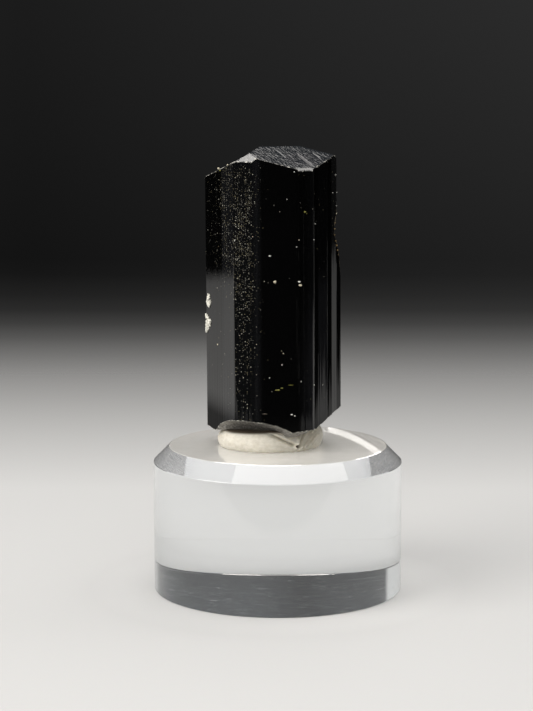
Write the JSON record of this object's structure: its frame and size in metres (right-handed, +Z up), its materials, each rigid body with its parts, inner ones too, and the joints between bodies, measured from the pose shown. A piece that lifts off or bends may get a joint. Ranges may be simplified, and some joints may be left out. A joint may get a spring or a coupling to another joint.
{
  "type": "tourmaline crystal",
  "caption": "Black tourmaline prism with grooved sides and a low pyramid top, held upright by a pad of putty on a round clear acrylic stand.",
  "frame": {"origin": "centre of the stand's underside", "axes": "+Z up along the stand's axis and the crystal's long axis; -Y is the front, towards the crystal's widest smooth face"},
  "size_m": [0.0318, 0.0318, 0.0567],
  "materials": {
    "tourmaline": "vitreous black, opaque at this thickness",
    "putty": "matt",
    "acrylic": "clear, polished"
  },
  "bodies": {
    "root": {"crystal": "tourmaline", "putty": "putty", "stand": "acrylic"}
  },
  "joints": []
}
